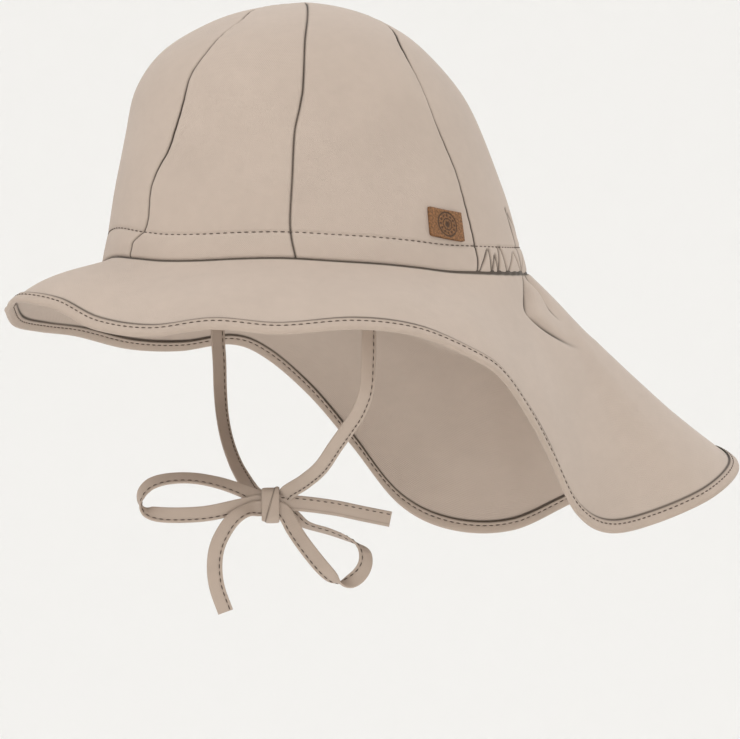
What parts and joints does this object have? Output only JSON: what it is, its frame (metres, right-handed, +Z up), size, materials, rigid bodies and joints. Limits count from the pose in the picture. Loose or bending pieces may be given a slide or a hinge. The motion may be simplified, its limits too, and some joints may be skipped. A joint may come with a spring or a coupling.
{
  "type": "legionnaire cap",
  "caption": "Child's cotton sun cap with a rounded panelled crown, a short front brim, a long neck flap and flat tapes tied in a bow under the chin.",
  "frame": {"origin": "centre of the head opening, level with the seam between crown and brim", "axes": "+X to the wearer's left, +Y to the back of the neck, +Z up"},
  "size_m": [0.22, 0.3166, 0.2442],
  "materials": {
    "cotton_cloth": "matt woven cotton",
    "cotton_tape": "matt folded cotton tape",
    "patch_leather": "satin smooth leather"
  },
  "bodies": {
    "root": {"crown_panel_front_left": "cotton_cloth", "crown_panel_side_left": "cotton_cloth", "crown_panel_back_left": "cotton_cloth", "crown_panel_back_right": "cotton_cloth", "crown_panel_side_right": "cotton_cloth", "crown_panel_front_right": "cotton_cloth", "brim_and_neck_flap": "cotton_cloth", "hem_binding": "cotton_tape", "chin_tie_left": "cotton_tape", "chin_tie_right": "cotton_tape", "leather_patch": "patch_leather", "bow_knot": "cotton_tape"}
  },
  "joints": []
}
